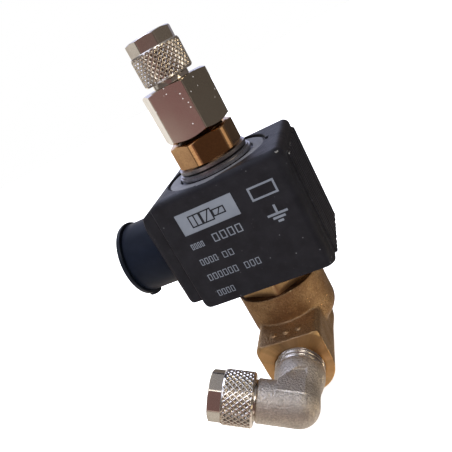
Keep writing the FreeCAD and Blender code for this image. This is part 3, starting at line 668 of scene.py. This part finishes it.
def elbow_body():
    """Forged elbow in its own axes: u away from the valve, w along the outlet leg."""
    step = 0.16
    face = -ELBOW_Y - PORT_FACE_Y
    thread_end = face + 9.0
    leg_r, flat = 5.25, 5.3
    space = grid((-thread_end, -6.7, -6.7), (5.4, 6.7, 21.4), step)
    u, v, w = space
    inward = -u
    inlet_r = np.hypot(v, w)
    rise = np.clip((inward - 3.0) / 6.6, 0, 1)
    swell = leg_r + 1.25 * rise * rise * (3 - 2 * rise)
    hub = meet(inlet_r - swell, inward - (face - 2.6), 0.35)
    inlet = np.maximum(hub, -inward)
    outlet_r = np.hypot(u, v)
    outlet = meet(np.maximum(outlet_r - leg_r, -w), w - 9.9, 0.3)
    ball = np.sqrt(u * u + v * v + w * w) - leg_r
    inner_corner = (inward - 2.5) * 0.645 + (w - 5.4) * 0.764
    outline = np.maximum(meet(inner_corner, inward - 7.0, 1.5),
                         np.maximum(-1.0 - inward, slab(w, -1.4, 5.4)))
    forging = np.minimum(join(inlet, outlet, 0.7), ball)
    forging = np.minimum(forging, np.maximum(outline, np.abs(v) - flat))
    forging = np.maximum(forging, -np.maximum(outline, flat - np.abs(v)))
    theta = np.arctan2(w, v)
    crest = thread_crest(theta, inward, INCH_19_PITCH)
    thread = meet(inlet_r - (6.56 - 0.62 * (1 - crest)), inward - thread_end, 0.6)
    thread = np.maximum(thread, face - 2.7 - inward)
    stem = np.maximum(outlet_r - STEM_R, slab(w, 9.0, 15.0))
    taper = np.maximum(outlet_r - 1.85, slab(w, 14.0, 20.9))
    barb = np.maximum(outlet_r - 2.0 + 0.16 * np.maximum(w - 18.7, 0), slab(w, 18.6, 20.9))
    elbow = np.minimum(np.minimum(forging, thread), np.minimum(stem, np.minimum(taper, barb)))
    elbow = np.maximum(elbow, -np.maximum(inlet_r - 2.4, -inward - 0.5))
    elbow = np.maximum(elbow, -np.maximum(outlet_r - STEM_BORE_R, -w))
    obj = quad_object("forged_elbow", *skin(elbow, space, step), (ELBOW_TURN, ELBOW_CORNER))
    finish(obj, "valve", ["blasted", "nickel"], ["elbow_body"])
    points = np.zeros(len(obj.data.vertices) * 3, np.float32)
    obj.data.vertices.foreach_get("co", points)
    local = (points.reshape(-1, 3) / MM - np.array(ELBOW_CORNER)) @ ELBOW_TURN
    # painted highlight: a thin line along the lower edge of the flat is marked for a near-white colour
    ledge = np.clip(1.3 - np.abs(local[:, 0] - 1.05) / 0.22, 0, 1) * np.clip(4.9 - local[:, 2], 0, 1)
    ledge *= np.clip(local[:, 2] + 1.9, 0, 1) * (np.abs(local[:, 1]) > 4.9)
    obj.data.attributes.new("rub", "FLOAT", "POINT").data.foreach_set("value", ledge.astype(np.float32))
    centre = (face_centres(obj) - np.array(ELBOW_CORNER)) @ ELBOW_TURN
    cut = (-centre[:, 0] > face - 2.68) | (centre[:, 2] > 9.95)
    paint_faces(obj, cut, 1)
    return obj


# ---------------------------------------------------------------- coil

COIL_LOW, COIL_TOP = 32.57, 64.85
RIB_BANDS = ((-9.4, -2.9, 3), (-2.2, 7.4, 4), (8.1, 14.0, 2))
RIB_TOP = 61.7


def rib_height(y, z):
    """How far the grip ribs stand out of the +X side."""
    height = np.zeros(np.broadcast(y, z).shape, np.float32)
    for low, high, count in RIB_BANDS:
        pitch = (high - low) / count
        across = np.mod(y - low, pitch) / pitch - 0.5
        crown = np.sqrt(np.maximum(0.0, 1.0 - (across / 0.44) ** 2))
        inside = (y > low) & (y < high)
        height = np.maximum(height, np.where(inside, 0.35 + 0.25 * crown, 0.0))
    return height * np.clip((RIB_TOP - z) / 0.5, 0, 1)


def coil_housing():
    step = 0.22
    space = grid((-21.8, -15.4, COIL_LOW), (20.4, 14.4, COIL_TOP), step)
    x, y, z = space
    drop = (COIL_TOP - z) / (COIL_TOP - COIL_LOW)
    left = -16.4 - 0.7 * drop - x
    right = x - COIL_RIGHT
    front, back = COIL_FRONT - y, y - COIL_BACK
    top, bottom = z - COIL_TOP, COIL_LOW - z
    slope = (x + 14.0) * -0.412 + (z - COIL_TOP) * 0.911
    bevel = (x + 20.3) * -0.894 + (z - 62.0) * 0.447
    side = np.maximum(meet(right, front, 2.8), meet(right, back, 1.8))
    side = np.maximum(side, np.maximum(meet(left, front, 0.8), meet(left, back, 0.8)))
    main = np.maximum(meet(side, top, 1.8), meet(side, bottom, 0.6))
    main = np.maximum(main, meet(left, bottom, 2.6))
    main = meet(main, slope, 0.5)
    main = np.maximum(main, meet(slope, front, 1.2))
    entry_left = -21.7 - x
    entry_side = np.maximum(meet(entry_left, np.abs(y) - 13.7, 2.2), meet(entry_left, 34.9 - z, 1.8))
    entry = np.maximum(meet(entry_side, slope, 0.9), meet(entry_side, bevel, 0.9))
    entry = np.maximum(entry, np.maximum(x + 14.5, top))
    ribbed = slab(y, RIB_BANDS[0][0], RIB_BANDS[-1][1])
    ribs = np.maximum(right - rib_height(y, z), np.maximum(ribbed, slab(x, 15.0, 21.0)))
    ribs = np.maximum(ribs, slab(z, COIL_LOW, RIB_TOP))
    housing = np.minimum(join(main, entry, 0.35), ribs)
    axis_r = np.hypot(x, y)
    hub_r = np.hypot(y, z - HUB_Z)
    inner_x, inner_low, inner_top = YOKE_X - YOKE_PLATE, YOKE_LOW + YOKE_PLATE, YOKE_TOP - YOKE_PLATE
    yoke_width = slab(y, -YOKE_Y, YOKE_Y)
    yoke_plates = np.minimum(slab(z, YOKE_LOW, inner_low), slab(z, inner_top, YOKE_TOP))
    flanges = np.minimum(slab(z, inner_low, inner_low + 1.0), slab(z, inner_top - 1.0, inner_top))
    cuts = [
        np.maximum(axis_r - 13.78, YOKE_TOP - z),
        np.maximum(axis_r - 14.3, 64.0 - z),
        np.maximum(np.maximum(slab(x, 13.0, 15.3), np.abs(y) - 1.2), 64.0 - z),
        np.maximum(axis_r - 9.4, z - YOKE_LOW),
        axis_r - 6.83,
        np.maximum(np.maximum(slab(x, -YOKE_X, YOKE_X), yoke_width), yoke_plates),
        np.maximum(np.maximum(slab(np.abs(x), inner_x, YOKE_X), yoke_width),
                   slab(z, YOKE_LOW, YOKE_TOP)),
        np.maximum(axis_r - 12.4, slab(z, inner_low, inner_top)),
        np.maximum(axis_r - 12.9, flanges),
        np.maximum(hub_r - 11.4, slab(x, -HUB_ROOT, 1.8 - HUB_ROOT)),
        np.maximum(hub_r - 10.3, x + HUB_ROOT),
        np.maximum(hub_r - 4.6, slab(x, -HUB_ROOT, -13.6)),
    ]
    for cut in cuts:
        housing = np.maximum(housing, -cut)
    obj = quad_object("coil_moulding", *skin(housing, space, step))
    return finish(obj, "coil", ["coil"], ["coil_housing"])


def face_ring():
    low, high = (v.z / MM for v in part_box("coil_face_ring"))
    theta = angles(160)
    rings = [(10.68, low), (13.76, low), (13.76, high - 0.3), (13.67, high - 0.09), (13.46, high),
             (10.95, high), (10.76, high - 0.08), (10.68, high - 0.27)]
    return finish(polar("face_ring", theta, rings), "coil", ["ring"], ["coil_face_ring"])


SIDEWAYS = np.array([(0.0, 0.0, 1.0), (0.0, 1.0, 0.0), (-1.0, 0.0, 0.0)]).T
HUB_AXIS = (SIDEWAYS, (0.0, 0.0, HUB_Z))


def conduit_hub():
    """Threaded entry, heights counted along -X."""
    theta = angles(160)
    end, root = HUB_END, HUB_ROOT
    rings = [(HUB_BORE_R, root - 1.8), (11.4, root - 1.8), (11.4, root), (10.3, root), (10.3, end - 0.35),
             (10.2, end - 0.1), (9.95, end), (8.0, end), (7.45, end - 0.45)]
    rings += groove_rings(theta, 22.6, end - 0.6, HUB_BORE_R, 0.6, 1.5)
    return finish(polar("conduit_sleeve", theta, rings, HUB_AXIS), "coil", ["entry"],
                  ["conduit_hub"])


def dust_plug():
    """Cap with a thin lip and pull tab, cup inside the entry; heights counted along -X."""
    theta = angles(360)
    seat, end, tip = 34.12, 35.43, 27.12      # behind the lip, outer face, bottom of the cup
    off = np.degrees(np.mod(theta - math.radians(198.0) + math.pi, 2 * math.pi) - math.pi)
    lip = 11.1 + 0.55 * np.clip((14.5 - np.abs(off)) / 3.0, 0, 1)
    rings = [(0.05, tip), (6.4, tip), (6.75, tip + 0.12), (6.86, tip + 0.4), (7.15, seat - 0.02),
             (lip - 0.1, seat),
             (lip, seat + 0.15), (lip, end - 0.45), (lip - 0.14, end - 0.13), (lip - 0.45, end),
             (7.3, end - 0.02), (6.6, end - 0.25), (5.95, end - 0.3), (5.75, end - 0.6), (5.75, tip + 1.2),
             (0.05, tip + 1.1)]
    return finish(polar("entry_cap", theta, rings, HUB_AXIS), "entry_plug", ["plug"],
                  ["dust_plug"])


# ---------------------------------------------------------------- printing on the coil

def bar(x0, x1, z0, z1):
    return [(x0, z0), (x1, z0), (x1, z1), (x0, z1)]


def line_mark(x0, z0, x1, z1, width):
    """Outline of a straight printed line."""
    length = math.hypot(x1 - x0, z1 - z0)
    ox, oz = -(z1 - z0) / length * width / 2, (x1 - x0) / length * width / 2
    return [(x0 + ox, z0 + oz), (x0 - ox, z0 - oz), (x1 - ox, z1 - oz), (x1 + ox, z1 + oz)]


def frame_mark(x0, x1, z0, z1, width):
    """Outlines of a printed rectangular frame."""
    return [bar(x0, x1, z0, z0 + width), bar(x0, x1, z1 - width, z1),
            bar(x0, x0 + width, z0 + width, z1 - width), bar(x1 - width, x1, z0 + width, z1 - width)]


def blanks(start, end, low, high, count, width=0.2):
    """A row of empty frames in place of a word."""
    pitch = (end - start) / count
    marks = []
    for k in range(count):
        x = start + k * pitch
        marks += frame_mark(x, x + 0.72 * pitch, low, high, width)
    return marks


def plates(name, outlines, lift, key):
    """Thin printed plates on the coil's front face."""
    outside = COIL_FRONT - lift
    inside = COIL_FRONT + 0.1
    points, quads = [], []
    for outline in outlines:
        first = len(points)
        points += [(x, outside, z) for x, z in outline] + [(x, inside, z) for x, z in outline]
        quads.append([first, first + 1, first + 2, first + 3])
        quads.append([first + 7, first + 6, first + 5, first + 4])
        for k in range(4):
            j = (k + 1) % 4
            quads.append([first + j, first + k, first + 4 + k, first + 4 + j])
    obj = quad_object(name, np.array(points), np.array(quads), sharp_deg=30.0)
    return finish(obj, "coil", [key])


def printing():
    """Plain marks in place of the print: a valve symbol on a panel, an earth sign and empty frames."""
    pale = [bar(-11.25, 4.5, 54.1, 60.0)]
    pale += frame_mark(8.4, 15.2, 55.6, 59.2, 0.5)
    pale += [bar(12.2, 12.8, 51.0, 53.1), bar(9.9, 15.1, 50.4, 51.0), bar(10.9, 14.1, 49.4, 50.0),
             bar(11.8, 13.2, 48.4, 49.0)]
    pale += blanks(-11.4, -7.6, 49.9, 51.5, 4)
    pale += blanks(-5.0, 3.6, 49.8, 52.1, 4, 0.26)
    pale += blanks(-11.4, -6.2, 45.0, 46.8, 4)
    pale += blanks(-5.0, -1.6, 44.9, 46.7, 2)
    pale += blanks(-11.7, -2.8, 40.2, 42.1, 6)
    pale += blanks(-1.2, 3.5, 40.0, 41.9, 3)
    pale += blanks(-11.6, -6.4, 35.2, 37.0, 4)
    plates("coil_print", pale, 0.025, "ink")
    dark = []
    for x in (-8.3, -5.1):
        dark += frame_mark(x, x + 3.2, 55.3, 58.7, 0.34)
    dark += frame_mark(-1.9, 1.5, 56.0, 58.0, 0.34)
    dark += [line_mark(-0.8, 56.1, 0.4, 57.9, 0.3), line_mark(-6.7, 55.5, -6.7, 58.5, 0.34),
             line_mark(-4.4, 55.4, -2.6, 58.6, 0.34)]
    plates("panel_symbol", dark, 0.04, "coil")


# ---------------------------------------------------------------- build

valve_body()
bonnet()
coil_nut()
top_adapter()
fixed_core()
tube_nut("knurled_nut_top", "top_nut", "top_tube_nut", 32.5, (np.eye(3), (0, 0, TOP_NUT_LOW)))
tube_nut("knurled_nut_side", "elbow_nut", "elbow_tube_nut", 10.0,
         (ELBOW_TURN, on_leg(ELBOW_NUT_START)))
elbow_body()
coil_housing()
face_ring()
conduit_hub()
dust_plug()
printing()

CAD_FINISH = {
    "flat_washer": "steel", "wave_washer": "steel", "lock_washer": "steel",
    "enclosing_tube": "stainless", "plunger": "stainless", "plunger_spring": "stainless",
    "yoke_frame": "phosphate", "coil_bobbin": "bobbin", "terminal_block": "bobbin",
    "coil_winding": "copper", "lead_terminals": "tinned", "earth_terminal": "tinned",
    "bonnet_seal": "rubber", "coil_lower_seal": "rubber", "coil_upper_seal": "rubber",
    "adapter_seal": "rubber", "plunger_lower_seal": "rubber", "plunger_upper_seal": "rubber",
}
for node, key in CAD_FINISH.items():
    obj = frame["nodes"][node]
    obj.data.materials.clear()
    obj.data.materials.append(M[key])


# ---------------------------------------------------------------- floor, light and camera

def floor():
    """Pale paper under the valve, wide enough to fill the view."""
    mesh = bpy.data.meshes.new("floor")
    half = 1.5
    mesh.from_pydata([(-half, -half, 0), (half, -half, 0), (half, half, 0), (-half, half, 0)], [],
                     [(0, 1, 2, 3)])
    obj = link(bpy.data.objects.new("floor", mesh))
    s = Shader("floor_paper")
    s.set(Base_Color=s.mix(s.noise(0.6, 3.0), (0.80, 0.80, 0.80), (0.82, 0.82, 0.82)), Roughness=0.9,
          Emission_Color=(1.0, 1.0, 1.0), Emission_Strength=0.85)
    mesh.materials.append(s.material)
    obj.visible_glossy = False


# Parts of the room that reflections pick up: direction, angles at which each is full and gone, colour.
ROOM = [
    ((0.0, 0.0, 1.0), 30, 80, (0.33, 0.32, 0.33)),
    ((0.0, 0.0, -1.0), 30, 58, (0.92, 0.82, 0.73)),
    ((0.22, 0.74, -0.63), 8, 18, (0.34, 0.30, 0.25)),
    ((0.70, 0.25, -0.67), 10, 24, (0.30, 0.23, 0.17)),
    ((-0.34, 0.88, 0.38), 12, 28, (0.78, 0.82, 1.12)),
    ((-0.33, -0.34, 0.88), 10, 24, (1.5, 1.6, 2.0)),
    ((-0.33, 0.36, 0.87), 12, 22, (3.6, 3.9, 5.2)),
    ((-0.66, 0.74, -0.10), 12, 26, (1.0, 0.95, 0.88)),
    ((-0.97, 0.0, -0.15), 12, 26, (0.62, 0.58, 0.54)),
    ((-0.88, 0.10, -0.48), 8, 24, (0.32, 0.25, 0.20)),
    ((-0.53, -0.30, -0.79), 10, 26, (0.60, 0.55, 0.49)),
    ((-0.30, -0.95, -0.10), 10, 24, (0.26, 0.14, 0.135)),
    ((-0.15, -0.80, -0.60), 10, 24, (0.34, 0.27, 0.22)),
    ((0.05, -0.93, 0.33), 8, 20, (0.20, 0.115, 0.11)),
    ((0.35, -0.75, -0.55), 8, 22, (0.26, 0.12, 0.09)),
    ((0.50, -0.85, -0.18), 10, 22, (0.07, 0.045, 0.035)),
    ((0.95, 0.22, -0.15), 8, 22, (0.10, 0.085, 0.07)),
    ((0.45, 0.88, -0.17), 8, 20, (0.06, 0.055, 0.055)),
    ((-0.52, -0.84, -0.18), 8, 12, (0.90, 0.78, 0.68)),
    ((0.98, -0.02, -0.18), 6, 10, (0.60, 0.50, 0.42)),
    ((-0.76, -0.35, -0.54), 7, 15, (0.62, 0.50, 0.36)),
    ((-0.76, 0.36, -0.54), 8, 18, (0.28, 0.18, 0.10)),
    ((-0.16, -0.90, -0.40), 5, 12, (1.3, 1.12, 0.98)),
    ((0.78, -0.28, -0.56), 4, 8, (3.0, 2.4, 1.6)),
    ((0.81, 0.05, -0.58), 3, 6, (10.0, 8.0, 5.2)),
    ((0.40, -0.56, 0.72), 9, 14, (3.2, 3.05, 2.9)),
    ((0.86, -0.30, 0.40), 7, 11, (4.0, 3.4, 2.5)),
]


def world():
    """Soft room: white to the camera, with bright and dark directions for reflections."""
    scene_world = bpy.data.worlds.new("studio")
    bpy.context.scene.world = scene_world
    scene_world.use_nodes = True
    tree = scene_world.node_tree
    tree.nodes.clear()
    direction = tree.nodes.new("ShaderNodeTexCoord").outputs["Generated"]
    colour = None
    for aim, full_deg, gone_deg, tint in ROOM:
        dot = tree.nodes.new("ShaderNodeVectorMath")
        dot.operation = "DOT_PRODUCT"
        tree.links.new(direction, dot.inputs[0])
        dot.inputs[1].default_value = Vector(aim).normalized()
        share = tree.nodes.new("ShaderNodeMapRange")
        share.interpolation_type = "SMOOTHSTEP"
        tree.links.new(dot.outputs["Value"], share.inputs[0])
        share.inputs[1].default_value = math.cos(math.radians(gone_deg))
        share.inputs[2].default_value = math.cos(math.radians(full_deg))
        mix = tree.nodes.new("ShaderNodeMix")
        mix.data_type = "RGBA"
        tree.links.new(share.outputs[0], mix.inputs[0])
        if colour is None:
            mix.inputs[6].default_value = (0.15, 0.125, 0.11, 1.0)
        else:
            tree.links.new(colour, mix.inputs[6])
        mix.inputs[7].default_value = tint + (1.0,)
        colour = mix.outputs[2]
    rays = tree.nodes.new("ShaderNodeLightPath")
    seen = tree.nodes.new("ShaderNodeMix")
    seen.data_type = "RGBA"
    tree.links.new(rays.outputs["Is Camera Ray"], seen.inputs[0])
    tree.links.new(colour, seen.inputs[6])
    seen.inputs[7].default_value = (1.0, 1.0, 1.0, 1.0)
    background = tree.nodes.new("ShaderNodeBackground")
    tree.links.new(seen.outputs[2], background.inputs["Color"])
    output = tree.nodes.new("ShaderNodeOutputWorld")
    tree.links.new(background.outputs[0], output.inputs[0])


def area(name, place, aim, size, power, colour=(1.0, 1.0, 1.0)):
    data = bpy.data.lights.new(name, "AREA")
    data.shape = "DISK"
    data.size = size
    data.energy = power
    data.color = colour
    obj = link(bpy.data.objects.new(name, data))
    obj.location = place
    obj.rotation_euler = (Vector(aim) - Vector(place)).to_track_quat("-Z", "Y").to_euler()
    obj.visible_glossy = False
    return obj


def camera():
    data = bpy.data.cameras.new("camera")
    data.lens = 39.04
    data.sensor_width = 36.0
    data.clip_start = 0.005
    obj = link(bpy.data.objects.new("camera", data))
    forward = Vector((-0.34138, 0.88261, -0.32321)).normalized()
    up = Vector((0.35761, 0.43997, 0.82373))
    right = forward.cross(up).normalized()
    up = right.cross(forward)
    turn = Matrix((right, up, -forward)).transposed().to_4x4()
    turn.translation = Vector((40.20, -120.35, 91.11)) * MM
    obj.matrix_world = turn
    bpy.context.scene.camera = obj


floor()
world()
middle = (0.0, -0.01, 0.05)
area("key", (-0.30, -0.22, 0.40), middle, 0.25, 2.6, (1.0, 0.98, 0.95))
area("front", (0.10, -0.45, 0.25), middle, 0.30, 0.5, (1.0, 0.99, 0.97))
area("back", (-0.10, 0.40, 0.35), middle, 0.30, 1.4, (0.92, 0.95, 1.0))
camera()
bpy.context.scene.view_settings.view_transform = "Standard"
